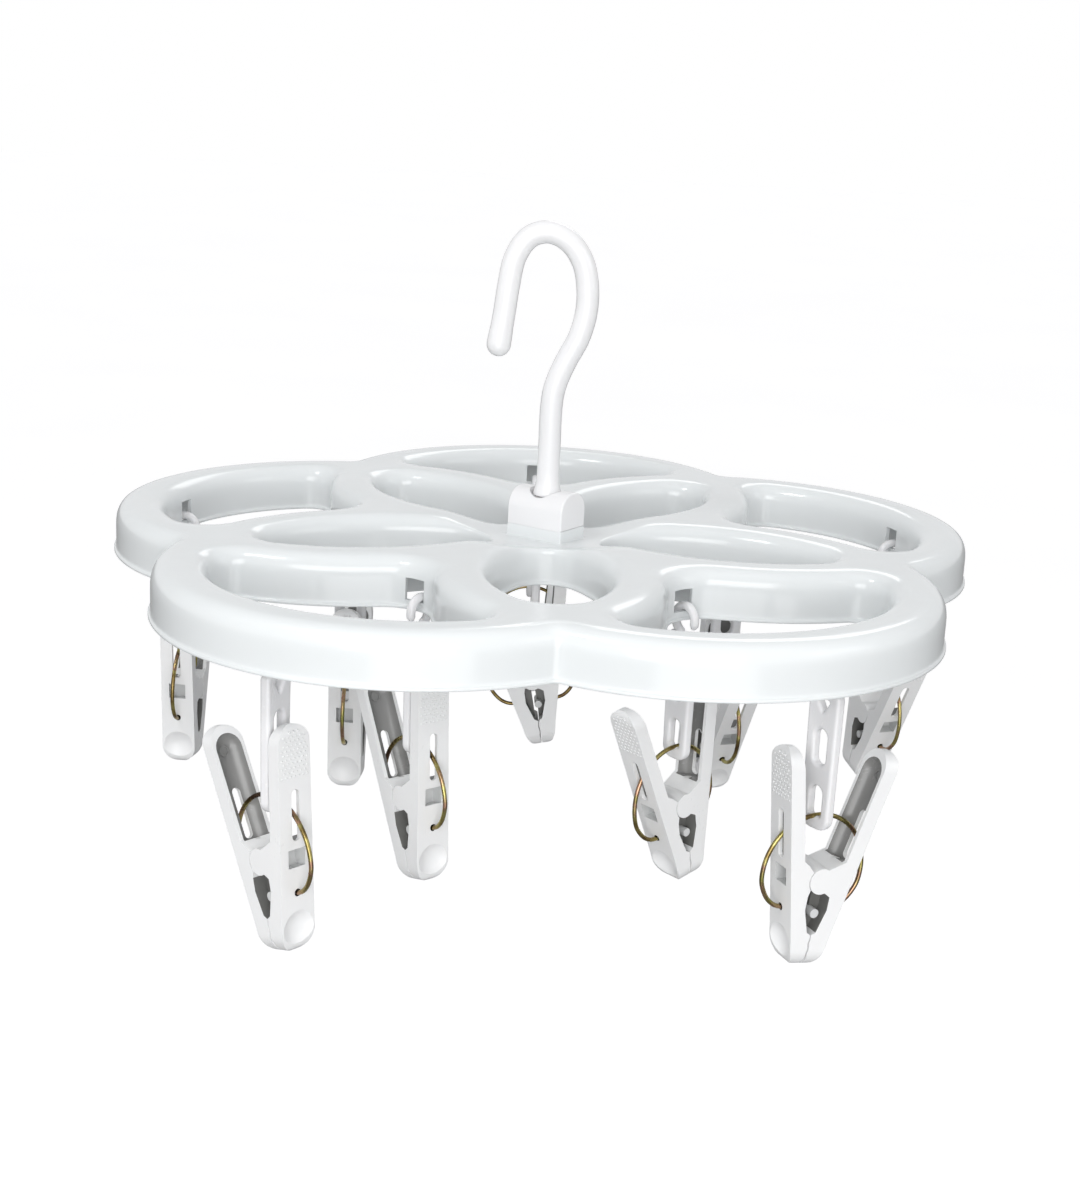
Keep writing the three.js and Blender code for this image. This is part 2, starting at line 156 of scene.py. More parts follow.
def piece_from(name, vertices, faces, place=None):
    """A new object from vertices in millimetres, with its faces pointing out."""
    mesh = bpy.data.meshes.new(name)
    mesh.from_pydata([Vector(v) * MM for v in vertices], [], faces)
    piece = bpy.data.objects.new(name, mesh)
    bpy.context.scene.collection.objects.link(piece)
    face_outwards(mesh)
    if place is not None:
        mesh.transform(place)
    return piece


def face_outwards(mesh):
    work = bmesh.new()
    work.from_mesh(mesh)
    bmesh.ops.recalc_face_normals(work, faces=work.faces)
    work.to_mesh(mesh)
    work.free()


def smooth_shade(mesh, sharp_angle):
    mesh.shade_smooth()
    mesh.set_sharp_from_angle(angle=math.radians(sharp_angle))


def bake(piece):
    """Turns a piece's modifiers into its mesh."""
    graph = bpy.context.evaluated_depsgraph_get()
    mesh = bpy.data.meshes.new_from_object(piece.evaluated_get(graph))
    piece.modifiers.clear()
    piece.data = mesh
    return piece


def carve(piece, operation, *tools):
    """Joins tools to a piece or cuts them out of it, keeping each tool's own material on the cut."""
    for tool in tools:
        change = piece.modifiers.new(operation, "BOOLEAN")
        change.operation = operation
        change.solver = "EXACT"
        change.material_mode = "TRANSFER"
        change.object = tool
        bake(piece)
        bpy.data.objects.remove(tool)
    return piece


def round_edges(piece, width, sharp_angle=35, steps=2):
    """Small moulded rounds on every edge."""
    bevel = piece.modifiers.new("rounds", "BEVEL")
    bevel.width = width * MM
    bevel.segments = steps
    bevel.limit_method = "ANGLE"
    bevel.angle_limit = math.radians(sharp_angle)
    bevel.miter_outer = "MITER_ARC"
    return bake(piece)


def soften(piece, width, sharp_angle=35):
    """Small moulded rounds on every edge, and clean shading on the flats between them."""
    round_edges(piece, width, sharp_angle)
    piece.data.shade_smooth()
    normals = piece.modifiers.new("normals", "WEIGHTED_NORMAL")
    normals.keep_sharp = False
    bake(piece)
    return piece


def joined(pieces):
    """Several pieces as one."""
    with bpy.context.temp_override(active_object=pieces[0], selected_editable_objects=pieces):
        bpy.ops.object.join()
    return pieces[0]


def mesh_of(piece):
    """A piece's mesh, without the piece."""
    mesh = piece.data
    bpy.data.objects.remove(piece)
    return mesh


def placed_copy(name, mesh, place):
    """A new piece with its own copy of a mesh, moved into place."""
    copy = mesh.copy()
    copy.transform(place)
    piece = bpy.data.objects.new(name, copy)
    bpy.context.scene.collection.objects.link(piece)
    return piece


def smooth_route(points, steps):
    """A Catmull-Rom curve through points, with the same number of steps between each two."""
    vectors = [Vector(p) for p in points]
    padded = [2 * vectors[0] - vectors[1], *vectors, 2 * vectors[-1] - vectors[-2]]
    route = []
    for a, b, c, d in zip(padded, padded[1:], padded[2:], padded[3:]):
        for step in range(steps):
            t = step / steps
            route.append(0.5 * (2 * b + (c - a) * t + (2 * a - 5 * b + 4 * c - d) * t * t
                                + (3 * b - a - 3 * c + d) * t ** 3))
    return [*route, vectors[-1]]


def sweep(route, radii, plane_normal, sides):
    """Vertices and faces of a round rod along a flat route, closed at both ends."""
    normal = Vector(plane_normal)
    vertices, faces = [], []
    for i, (centre, radius) in enumerate(zip(route, radii)):
        ahead = route[min(i + 1, len(route) - 1)] - route[max(i - 1, 0)]
        across = normal.cross(ahead).normalized()
        for k in range(sides):
            angle = 2 * math.pi * k / sides
            vertices.append(centre + radius * (math.cos(angle) * across + math.sin(angle) * normal))
    for i in range(len(route) - 1):
        for k in range(sides):
            a, b = i * sides + k, i * sides + (k + 1) % sides
            faces.append((a, b, b + sides, a + sides))
    faces.append(tuple(range(sides)))
    faces.append(tuple(range((len(route) - 1) * sides, len(route) * sides)))
    return vertices, faces


def prism(outline, low, high, lift):
    """A solid from a flat outline, where lift(u, v, w) places outline point u, v at depth w."""
    count = len(outline)
    vertices = [lift(u, v, w) for w in (low, high) for u, v in outline]
    sides = [(i, (i + 1) % count, count + (i + 1) % count, count + i) for i in range(count)]
    return vertices, [tuple(range(count)), tuple(range(count, 2 * count)), *sides]


# ---------------------------------------------------------------- outlines

def arc_points(centre, radius, growth, start, end, step=OUTLINE_STEP, least=4):
    """Points (x, y, nx, ny) along an arc. The normal points into the material:
    growth is 1 where an inset makes the arc larger and -1 where it makes it smaller."""
    count = max(least, math.ceil(abs(end - start) * radius / step))
    points = []
    for i in range(count + 1):
        angle = start + (end - start) * i / count
        c, s = math.cos(angle), math.sin(angle)
        points.append((centre[0] + radius * c, centre[1] + radius * s, growth * c, growth * s))
    return points


def closed_outline(stretches):
    """One closed outline from stretches that meet end to end."""
    outline = []
    for stretch in stretches:
        for p in stretch:
            if not outline or math.dist(p[:2], outline[-1][:2]) > 1e-4:
                outline.append(p)
    if math.dist(outline[0][:2], outline[-1][:2]) < 1e-4:
        outline.pop()
    return outline


def turned_outline(outline, angle):
    c, s = math.cos(angle), math.sin(angle)
    return [(c * x - s * y, s * x + c * y, c * nx - s * ny, s * nx + c * ny) for x, y, nx, ny in outline]


def inset_row(outline, inset):
    return [(x + inset * nx, y + inset * ny) for x, y, nx, ny in outline]


def bearing(origin, target):
    return math.atan2(target[1] - origin[1], target[0] - origin[0])


def windowed_arc(centre, radius, start, end):
    """An arc with points exactly at the sides of the window in its middle."""
    middle = (start + end) / 2
    half = math.asin(WINDOW_WIDTH / 2 / radius)
    spans = ((start, middle - half), (middle - half, middle + half), (middle + half, end))
    return [arc_points(centre, radius, 1, a, b) for a, b in spans]


def petal_outline():
    """The lens-shaped opening between two neighbouring rings, pointing along +X."""
    inner = RING_RADIUS - RAIL_HALF
    half = math.pi / RINGS
    ring = (RING_CENTRE * math.cos(half), -RING_CENTRE * math.sin(half))
    twin = (ring[0], -ring[1])
    reach = math.sqrt((inner - PETAL_CORNER) ** 2 - ring[1] ** 2)
    near, far = (ring[0] - reach, 0), (ring[0] + reach, 0)
    a, b = bearing(ring, far), bearing(ring, near)
    return closed_outline([
        arc_points(far, PETAL_CORNER, 1, -a, a),
        arc_points(ring, inner, 1, a, b),
        arc_points(near, PETAL_CORNER, 1, b, 2 * math.pi - b),
        arc_points(twin, inner, 1, -b, -a),
    ])


def circles_crossing(a, radius_a, b, radius_b):
    """Where two circles cross, on the side with the larger x."""
    gap = math.dist(a, b)
    along = (radius_a ** 2 - radius_b ** 2 + gap ** 2) / (2 * gap)
    across = math.sqrt(radius_a ** 2 - along ** 2)
    ux, uy = (b[0] - a[0]) / gap, (b[1] - a[1]) / gap
    middle = (a[0] + along * ux, a[1] + along * uy)
    options = [(middle[0] - s * across * uy, middle[1] + s * across * ux) for s in (1, -1)]
    return max(options)


def lobe_outline():
    """The shield-shaped opening of one ring outside its two neighbours, pointing along +X,
    and the middles of its two windows."""
    inner = RING_RADIUS - RAIL_HALF
    outer = RING_RADIUS + RAIL_HALF
    ring = (RING_CENTRE, 0)
    turn_angle = 2 * math.pi / RINGS
    near = (RING_CENTRE * math.cos(turn_angle), RING_CENTRE * math.sin(turn_angle))
    near_twin = (near[0], -near[1])
    corner = circles_crossing(ring, inner - LOBE_CORNER, near, outer + LOBE_CORNER)
    corner_twin = (corner[0], -corner[1])
    hub = (near[0] + math.sqrt((outer + HUB_CORNER) ** 2 - near[1] ** 2), 0)
    own = bearing(ring, corner)
    fold = bearing(corner, near)
    wall = (bearing(near, corner), bearing(near, hub))
    hub_turn = bearing(hub, near)
    stretches = [
        *windowed_arc(ring, inner, -own, own),
        arc_points(corner, LOBE_CORNER, 1, own, fold),
        arc_points(near, outer, -1, wall[0], wall[1]),
        *windowed_arc(hub, HUB_CORNER, hub_turn, 2 * math.pi - hub_turn),
        arc_points(near_twin, outer, -1, -wall[1], -wall[0]),
        arc_points(corner_twin, LOBE_CORNER, 1, -fold, -own),
    ]
    middles = [(ring[0] + inner, 0), (hub[0] - HUB_CORNER, 0)]
    return closed_outline(stretches), middles


def outer_outline():
    """The outside of the five rings, with a small round in each notch."""
    outer = RING_RADIUS + RAIL_HALF
    half = math.pi / RINGS
    lobe = (RING_CENTRE * math.cos(half), RING_CENTRE * math.sin(half))
    notch = (lobe[0] + math.sqrt((outer + NOTCH_CORNER) ** 2 - lobe[1] ** 2), 0)
    fold = bearing(notch, lobe)
    sweep_angle = half - bearing(lobe, notch)
    stretches = []
    for k in range(RINGS):
        direction = math.radians(FIRST_LOBE) + 2 * math.pi * k / RINGS
        fold_arc = arc_points(notch, NOTCH_CORNER, 1, 2 * math.pi - fold, fold)
        lobe_arc = arc_points((RING_CENTRE, 0), outer, -1, -sweep_angle, sweep_angle)
        stretches += [turned_outline(fold_arc, direction - half), turned_outline(lobe_arc, direction)]
    return closed_outline(stretches)


def collar_row(offset, corner=0.5, per_side=9, per_corner=4):
    """A row of points round the collar, drawn out by offset. Every row has the same number of points."""
    half_x, half_y = BLOCK_LENGTH / 2 - corner, BLOCK_WIDTH / 2 - corner
    radius = corner + offset
    centres = [(half_x, half_y), (-half_x, half_y), (-half_x, -half_y), (half_x, -half_y)]
    row = []
    for k, (x, y) in enumerate(centres):
        for i in range(per_corner + 1):
            angle = math.pi / 2 * (k + i / per_corner)
            row.append((x + radius * math.cos(angle), y + radius * math.sin(angle)))
        next_x, next_y = centres[(k + 1) % 4]
        angle = math.pi / 2 * (k + 1)
        start = (x + radius * math.cos(angle), y + radius * math.sin(angle))
        end = (next_x + radius * math.cos(angle), next_y + radius * math.sin(angle))
        for i in range(1, per_side):
            share = i / per_side
            row.append((start[0] + (end[0] - start[0]) * share, start[1] + (end[1] - start[1]) * share))
    turn = math.radians(BLOCK_ANGLE)
    return [(math.cos(turn) * x - math.sin(turn) * y, math.sin(turn) * x + math.cos(turn) * y) for x, y in row]


def bore_row(radius):
    """The collar's row drawn in to a circle."""
    return [(radius * x / math.hypot(x, y), radius * y / math.hypot(x, y)) for x, y in collar_row(0)]


def inside_loops(points, loops):
    """Which points lie in the material between loops, by counting the edges to one side of each."""
    starts = np.array([p for loop in loops for p in loop])
    ends = np.array([p for loop in loops for p in loop[1:] + loop[:1]])
    px, py = points[:, :1], points[:, 1:]
    spans = (starts[:, 1] > py) != (ends[:, 1] > py)
    rise = np.where(ends[:, 1] == starts[:, 1], 1e-12, ends[:, 1] - starts[:, 1])
    crossing_x = starts[:, 0] + (py - starts[:, 1]) * (ends[:, 0] - starts[:, 0]) / rise
    return (np.sum(spans & (px < crossing_x), axis=1) % 2) == 1


def fill_between(loops, grid, margin):
    """Triangles that fill the material between loops. Returns the inner points and the triangles,
    which count the loops' points first, in order, and then the inner ones."""
    border = np.array([p for loop in loops for p in loop])
    low, high = border.min(0), border.max(0)
    rows = np.arange(low[1], high[1], grid * math.sqrt(3) / 2)
    candidates = np.array([
        (x + (i % 2) * grid / 2, y) for i, y in enumerate(rows) for x in np.arange(low[0], high[0], grid)
    ])
    candidates = candidates[inside_loops(candidates, loops)]
    if len(candidates):
        gaps = np.array([np.min(np.hypot(*(border - p).T)) for p in candidates])
        candidates = candidates[gaps > margin]
    edges, first = [], 0
    for loop in loops:
        edges += [(first + i, first + (i + 1) % len(loop)) for i in range(len(loop))]
        first += len(loop)
    points = [Vector(p) for p in border] + [Vector(p) for p in candidates]
    made = delaunay_2d_cdt(points, edges, [], 0, 1e-6)
    source = [origin[0] for origin in made[3]]
    triangles = np.array([[source[i] for i in face] for face in made[2]])
    flat = np.array([tuple(p) for p in points])
    keep = inside_loops(flat[triangles].mean(axis=1), loops)
    return [tuple(p) for p in candidates], [tuple(int(i) for i in t) for t in triangles[keep]]


# ---------------------------------------------------------------- materials

class Nodes:
    """A material's node tree, with a short way to add and join nodes."""

    def __init__(self, name):
        self.material = bpy.data.materials.new(name)
        self.material.use_nodes = True
        self.tree = self.material.node_tree
        self.shader = self.tree.nodes["Principled BSDF"]
        self.place = self.tree.nodes.new("ShaderNodeTexCoord").outputs["Object"]

    def add(self, kind, values=(), **settings):
        node = self.tree.nodes.new(kind)
        for key, value in settings.items():
            setattr(node, key, value)
        for key, value in dict(values).items():
            self.feed(node.inputs[key], value)
        return node

    def feed(self, socket, value):
        if isinstance(value, bpy.types.NodeSocket):
            self.tree.links.new(value, socket)
        else:
            socket.default_value = value

    def noise(self, scale, detail=3, stretch=(1, 1, 1)):
        where = self.add("ShaderNodeMapping", {"Vector": self.place, "Scale": stretch})
        texture = self.add("ShaderNodeTexNoise", {
            "Vector": where.outputs["Vector"], "Scale": scale, "Detail": detail,
        })
        return texture.outputs["Fac"]

    def ramp(self, factor, stops):
        node = self.add("ShaderNodeValToRGB", {"Fac": factor})
        elements = node.color_ramp.elements
        for i, (position, colour) in enumerate(stops):
            element = elements[i] if i < 2 else elements.new(position)
            element.position = position
            element.color = (*colour, 1)
        return node.outputs["Color"]

    def span(self, factor, low, high):
        node = self.add("ShaderNodeMapRange", {
            "Value": factor, "From Min": 0.3, "From Max": 0.7, "To Min": low, "To Max": high,
        })
        return node.outputs["Result"]

    def bump(self, height, strength, distance, under=None):
        values = {"Height": height, "Strength": strength, "Distance": distance}
        if under is not None:
            values["Normal"] = under
        return self.add("ShaderNodeBump", values).outputs["Normal"]

    def finish(self, **values):
        for key, value in values.items():
            self.feed(self.shader.inputs[key.replace("_", " ")], value)
        return self.material


def moulded_plastic(name, light, dark, roughness, ripple=0.06, grain=0.05, glow=0.1):
    """Injection-moulded polypropylene: a faint drift of tone, flow ripple, fine grain and handling marks."""
    n = Nodes(name)
    drift = n.noise(26, 4)
    flow = n.noise(95, 2, (1, 1, 0.45))
    fine = n.noise(2600, 2)
    marks = n.noise(380, 6, (1, 6, 1.5))
    colour = n.ramp(drift, [(0.32, dark), (0.68, light)])
    gloss = n.add("ShaderNodeMath", {
        0: n.span(flow, roughness * 0.86, roughness * 1.12), 1: n.span(marks, -0.025, 0.04),
    }, operation="ADD")
    waves = n.bump(flow, ripple, 0.0006)
    surface = n.bump(fine, grain, 0.00004, waves)
    return n.finish(**{
        "Base Color": colour, "Roughness": gloss.outputs["Value"], "Normal": surface, "IOR": 1.49,
        "Subsurface Weight": glow, "Subsurface Radius": (1, 0.95, 0.9), "Subsurface Scale": 0.0015,
        "Coat Weight": 0.15, "Coat Roughness": 0.12,
    })


def passivated_wire(name):
    """Yellow-passivated spring wire, with the olive, pink and brown tints of its thin coat."""
    n = Nodes(name)
    tint = n.noise(75, 3)
    drawn = n.noise(900, 3, (1, 1, 0.15))
    colour = n.ramp(tint, [
        (0.32, (0.09, 0.05, 0.03)), (0.42, (0.26, 0.19, 0.07)), (0.50, (0.46, 0.41, 0.15)),
        (0.57, (0.40, 0.23, 0.16)), (0.68, (0.27, 0.26, 0.08)),
    ])
    return n.finish(**{
        "Base Color": colour, "Metallic": 1.0, "Roughness": n.span(drawn, 0.16, 0.34),
        "Normal": n.bump(drawn, 0.12, 0.00005),
    })


frame_plastic = moulded_plastic("frame_plastic", (0.785, 0.812, 0.818), (0.76, 0.787, 0.793), 0.15)
hook_plastic = moulded_plastic("hook_plastic", (0.86, 0.86, 0.865), (0.83, 0.83, 0.84), 0.17)
peg_plastic = moulded_plastic("peg_plastic", (0.90, 0.905, 0.905), (0.87, 0.875, 0.88), 0.33, 0.05, 0.2)
# Painted shade: a dark grey for the inside of a peg's channel, standing in for the shade in that groove.
channel_painted_shade = moulded_plastic("peg_plastic_channel_painted_shade", (0.29, 0.29, 0.285), (0.235, 0.235, 0.23), 0.24)
# Painted shade: a light grey for the walls of a peg's window and the button in its pocket, standing in for the shade
# there.
window_painted_shade = moulded_plastic("peg_plastic_window_painted_shade", (0.72, 0.73, 0.73), (0.64, 0.65, 0.65), 0.35)
# Painted shade: a dark grey for the web and walls of the pocket between a peg's pivot and jaw, and for its wire hole,
# standing in for the shade in these hollows.
recess_painted_shade = moulded_plastic("peg_plastic_recess_painted_shade", (0.20, 0.20, 0.19), (0.13, 0.13, 0.125), 0.4)
link_plastic = moulded_plastic("link_plastic", (0.85, 0.85, 0.86), (0.82, 0.82, 0.835), 0.24, glow=0.2)
spring_wire = passivated_wire("spring_wire")


# ---------------------------------------------------------------- flower frame

def hub_place():
    """The hub's own coordinates in the row frame: its axis, at the height of the frame's bottom edge."""
    axis = joints["frame_swivel"]["pos_m"]
    return Matrix.Translation((axis[0], axis[1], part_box("frame")[0].z))


def eased(share):
    share = min(1, max(0, share))
    return share * share * (3 - 2 * share)


def dished(x, y, height, depth):
    """A height on the frame, lowered smoothly into the dish in the middle. Depth is how far
    the surface lies below the outside."""
    reach = eased((math.hypot(x, y) - DISH_FLOOR_RADIUS) / (DISH_RADIUS - DISH_FLOOR_RADIUS))
    limit = DISH_FLOOR + (RAIL_HEIGHT + DISH_BLEND - DISH_FLOOR) * reach - depth
    overlap = max(DISH_BLEND - abs(height - limit), 0) / DISH_BLEND
    return min(height, limit) - overlap * overlap * DISH_BLEND / 4


def rail_section():
    """The channel's section as rows of (inset, height, depth), from the crest of the underside
    down to the lip and up to the crest of the top, and the rows that span a window on each side."""
    def skin(inset, shoulder, top, depth):
        run, rise = CREST_INSET - inset, top - shoulder
        power = 2 / RAIL_SQUARENESS
        start = math.asin(((WINDOW_TOP - shoulder) / rise) ** (1 / power))
        angles = [start + (math.pi / 2 - start) * i / CURVE_ROWS for i in range(CURVE_ROWS + 1)]
        curve = [
            (CREST_INSET - run * math.cos(a) ** power, shoulder + rise * math.sin(a) ** power, depth) for a in angles
        ]
        wall = []
        for i in range(WINDOW_ROWS):
            height = WINDOW_BOTTOM + (WINDOW_TOP - WINDOW_BOTTOM) * i / WINDOW_ROWS
            share = max(0, height - shoulder) / rise
            reach = (1 - share ** RAIL_SQUARENESS) ** (1 / RAIL_SQUARENESS)
            wall.append((CREST_INSET - run * reach, height, depth))
        return wall + curve

    under = skin(WALL, INNER_SHOULDER, RAIL_HEIGHT - WALL, WALL)[::-1]
    top = skin(0, SHOULDER, RAIL_HEIGHT, 0)
    r = LIP_REACH
    lip = [
        (WALL, 2.5, 0), (WALL, 0.3, 0), (WALL - 0.3, 0, 0), (0.3 - r, 0, 0), (0.1 - r, 0.1, 0), (-r, 0.3, 0),
        (-r, 0.8, 0), (0.1 - r, 1.02, 0), (0.3 - r, 1.14, 0), (-0.3, 1.22, 0), (-0.12, 1.42, 0),
        (0, 1.9, 0), (0, 2.4, 0),
    ]
    under_rows = (len(under) - 1 - WINDOW_ROWS, len(under) - 1)
    top_rows = (len(under) + len(lip) + WINDOW_ROWS, len(under) + len(lip))
    return under + lip + top, under_rows, top_rows


def frame_surface():
    """Vertices and faces of the whole frame as one closed shell."""
    section, under_rows, top_rows = rail_section()
    outlines = [(outer_outline(), [])]
    lobe, middles = lobe_outline()
    for k in range(RINGS):
        direction = math.radians(FIRST_LOBE) + 2 * math.pi * k / RINGS
        c, s = math.cos(direction), math.sin(direction)
        outlines.append((turned_outline(lobe, direction), [(c * x, s * x) for x, _ in middles]))
        outlines.append((turned_outline(petal_outline(), direction + math.pi / RINGS), []))

    vertices, faces, top_loops, under_loops = [], [], [], []
    for outline, windows in outlines:
        base, count = len(vertices), len(outline)
        for inset, height, depth in section:
            vertices += [(x, y, dished(x, y, height, depth)) for x, y in inset_row(outline, inset)]

        def at(row, column):
            return base + row * count + column % count

        def in_window(column):
            middle = [(outline[column][i] + outline[(column + 1) % count][i]) / 2 for i in (0, 1)]
            return any(math.dist(middle, w) < WINDOW_WIDTH / 2 for w in windows)

        open_columns = [c for c in range(count) if in_window(c)]
        open_rows = {*range(*under_rows), *range(top_rows[1], top_rows[0])}
        for row in range(len(section) - 1):
            for column in range(count):
                if not (column in open_columns and row in open_rows):
                    faces.append((at(row, column), at(row, column + 1), at(row + 1, column + 1), at(row + 1, column)))
        for column in open_columns:
            for under_row, top_row in ((under_rows[0], top_rows[0]), (under_rows[1], top_rows[1])):
                faces.append((at(under_row, column), at(under_row, column + 1),
                              at(top_row, column + 1), at(top_row, column)))
            for edge, neighbour in ((column, column - 1), (column + 1, column + 1)):
                if neighbour % count in open_columns:
                    continue
                for i in range(WINDOW_ROWS):
                    faces.append((at(under_rows[1] - i, edge), at(under_rows[1] - i - 1, edge),
                                  at(top_rows[1] + i + 1, edge), at(top_rows[1] + i, edge)))
        under_loops.append([at(0, c) for c in range(count)])
        top_loops.append([at(len(section) - 1, c) for c in range(count)])

    foot = len(vertices)
    collar = [
        (collar_row(0.5), DISH_FLOOR), (collar_row(0.2), DISH_FLOOR + 0.1), (collar_row(0.05), DISH_FLOOR + 0.3),
        (collar_row(0), DISH_FLOOR + 0.7), (collar_row(0), COLLAR_TOP - 0.4), (collar_row(-0.12), COLLAR_TOP - 0.1),
        (collar_row(-0.4), COLLAR_TOP), (bore_row(BORE_RADIUS + 0.4), COLLAR_TOP),
        (bore_row(BORE_RADIUS), COLLAR_TOP - 0.4), (bore_row(BORE_RADIUS), DISH_FLOOR - WALL + 0.4),
        (bore_row(BORE_RADIUS + 0.4), DISH_FLOOR - WALL), (collar_row(0.5), DISH_FLOOR - WALL),
    ]
    ring = len(collar[0][0])
    for row, height in collar:
        vertices += [(x, y, height) for x, y in row]
    for i in range(len(collar) - 1):
        for k in range(ring):
            a, b = foot + i * ring + k, foot + i * ring + (k + 1) % ring
            faces.append((a, b, b + ring, a + ring))
    top_loops.append([foot + k for k in range(ring)])
    under_loops.append([foot + (len(collar) - 1) * ring + k for k in range(ring)])

    flat_loops = [[vertices[i][:2] for i in loop] for loop in top_loops]
    inner_points, triangles = fill_between(flat_loops, CREST_GRID, CREST_MARGIN)
    for loops, depth in ((top_loops, 0), (under_loops, WALL)):
        index = [i for loop in loops for i in loop]
        index += range(len(vertices), len(vertices) + len(inner_points))
        vertices += [(x, y, dished(x, y, RAIL_HEIGHT - depth, depth)) for x, y in inner_points]
        faces += [tuple(index[i] for i in t) for t in triangles]
    return vertices, faces


def build_frame():
    piece = piece_from("frame_shell", *frame_surface(), hub_place())
    smooth_shade(piece.data, 48)
    piece.data.materials.append(frame_plastic)
    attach(piece, "frame")
    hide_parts("frame")


def arch_row(inset, steps=10):
    """The block's arched section as (across, height) points, drawn in by inset."""
    half, r = BLOCK_WIDTH / 2, BLOCK_CORNER
    foot = 0.06
    corners = [
        (half - foot, BLOCK_BOTTOM + foot, foot, -90), (half - r, BLOCK_TOP - r, r, 0),
        (r - half, BLOCK_TOP - r, r, 90), (foot - half, BLOCK_BOTTOM + foot, foot, 180),
    ]
    row = []
    for x, z, radius, start in corners:
        for i in range(steps + 1):
            angle = math.radians(start + 90 * i / steps)
            reach = max(radius - inset, 0.02)
            shift = max(inset - radius, 0)
            row.append((
                x - math.copysign(shift, x) + reach * math.cos(angle),
                z + (shift if z < RECESS_FLOOR - r else 0) + reach * math.sin(angle),
            ))
    return row


def build_hook_block():
    """The arch-topped block with its round recess."""
    half = BLOCK_LENGTH / 2
    ends = [(0.7, 0), (0.32, 0.1), (0.1, 0.32), (0, 0.7)]
    stations = [(inset, -half + back) for inset, back in ends] + [(inset, half - back) for inset, back in ends[::-1]]
    vertices, faces = [], []
    count = len(arch_row(0))
    for inset, along in stations:
        vertices += [(along, y, z) for y, z in arch_row(inset)]
    for i in range(len(stations) - 1):
        for k in range(count):
            a, b = i * count + k, i * count + (k + 1) % count
            faces.append((a, b, b + count, a + count))
    faces += [tuple(range(count)), tuple(range((len(stations) - 1) * count, len(stations) * count))]
    piece = piece_from("hook_block_shell", vertices, faces)
    route = [Vector((0, 0, z)) for z in (0, RECESS_FLOOR, RECESS_FLOOR + 0.01, BLOCK_TOP + 5)]
    radii = [BORE_RADIUS, BORE_RADIUS, RECESS_RADIUS, RECESS_RADIUS]
    carve(piece, "DIFFERENCE", piece_from("recess", *sweep(route, radii, (0, 1, 0), 64)))
    soften(piece, 0.3, 42)
    piece.data.transform(hub_place() @ Matrix.Rotation(math.radians(BLOCK_ANGLE), 4, "Z"))
    piece.data.materials.clear()
    piece.data.materials.append(hook_plastic)
    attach(piece, "frame")
    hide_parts("hook_block")


def build_hook():
    """The rod with its ball tip, flared foot and the snap pin below it."""
    foot = [
        (7.6, 2.4), (7.75, 2.8), (8.1, 3), (9.8, 4.35), (10.1, 4.4), (10.7, 4.4), (10.8, 4.25), (10.85, 3), (27.8, 3),
        (27.9, 4.2), (27.95, 4.7), (28.15, 5), (28.5, 5.1), (29.4, 4.95), (31, 4.5), (32.8, 4.18), (34, 4.08),
    ]
    bends = [
        (0, 36), (0, 46), (0, 60), (1.2, 68.2), (4.4, 76.5), (8.5, 84.9), (10.7, 93.9), (10.7, 103), (8.6, 111.5),
        (3.6, 118.2), (-3.6, 121.2), (-10.6, 119), (-15.2, 111.8), (-17, 102), (-18.1, 92.6), (-19.6, 81.5),
    ]
    route = [Vector((0, 0, height)) for height, _ in foot]
    radii = [radius for _, radius in foot]
    rod = smooth_route([(x, 0, z) for x, z in bends], 8)
    end = rod[-1]
    for centre in rod:
        swell = eased(1 - (centre - end).length / 9)
        radii.append(ROD_RADIUS + (TIP_RADIUS - ROD_RADIUS) * swell)
    route += rod
    ahead = (rod[-1] - rod[-2]).normalized()
    for i in range(1, 12):
        angle = math.pi / 2 * i / 11.3
        route.append(end + ahead * TIP_RADIUS * math.sin(angle))
        radii.append(TIP_RADIUS * math.cos(angle))
    piece = piece_from("hook_rod", *sweep(route, radii, (0, 1, 0), HOOK_SIDES), hub_place())
    smooth_shade(piece.data, 50)
    piece.data.materials.append(hook_plastic)
    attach(piece, "hook")
    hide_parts("hook")


# ---------------------------------------------------------------- pegs

def outer_face(height):
    return 6.8 + (height - 9) * LEVER_SLOPE


def lever_outline(has_knuckle):
    """The side view of a lever as (x, height) points: jaw tip, outer face, handle end, inner face,
    pivot and jaw pocket, back to the wavy jaw line."""
    tip = [tuple(p[:2]) for p in smooth_route([(1.1, 0.05, 0), (2.4, 0.1, 0), (4.3, 1.5, 0), (6, 5.2, 0),
                                               (outer_face(9.5), 9.5, 0)], 5)]
    end = outer_face(PEG_LENGTH - 4)
    handle = [tuple(p[:2]) for p in smooth_route([(end, 67, 0), (end - 0.15, 69, 0), (end - 1, 70.5, 0),
                                                  (end - 2.4, 71, 0), (end - 3.8, 70.4, 0),
                                                  (end - 4.5, 69, 0)], 3)]
    inner = [(outer_face(35.5) - LEVER_THICKNESS, 35.5)]
    reach = math.radians(64 if has_knuckle else 40)
    radius = KNUCKLE_RADIUS if has_knuckle else SOCKET_RADIUS
    turn = (2 * math.pi - reach) if has_knuckle else -reach
    steps = 28 if has_knuckle else 9
    angles = [reach + (turn - reach) * i / steps for i in range(steps + 1)]
    joint = [(radius * math.cos(a), PEG_PIVOT + radius * math.sin(a)) for a in angles]
    above = [] if has_knuckle else [(5.6, 34.1)]
    below = [(2.8, 24.7)] if has_knuckle else []
    pocket = [(4, 23.9), (4, 19.6), (1.6, 12.2)]
    phase = 1 if has_knuckle else -1
    waves = 18
    jaw = []
    for i in range(waves + 1):
        share = i / waves
        swing = 0.13 + 0.13 * phase * math.sin(6 * math.pi * share)
        fade = math.sin(math.pi * min(1, 4 * share, 4 - 4 * share) / 2)
        jaw.append((JAW_GAP + swing * fade, 11.3 - 10.7 * share))
    return tip + handle + inner + above + joint + below + pocket + jaw


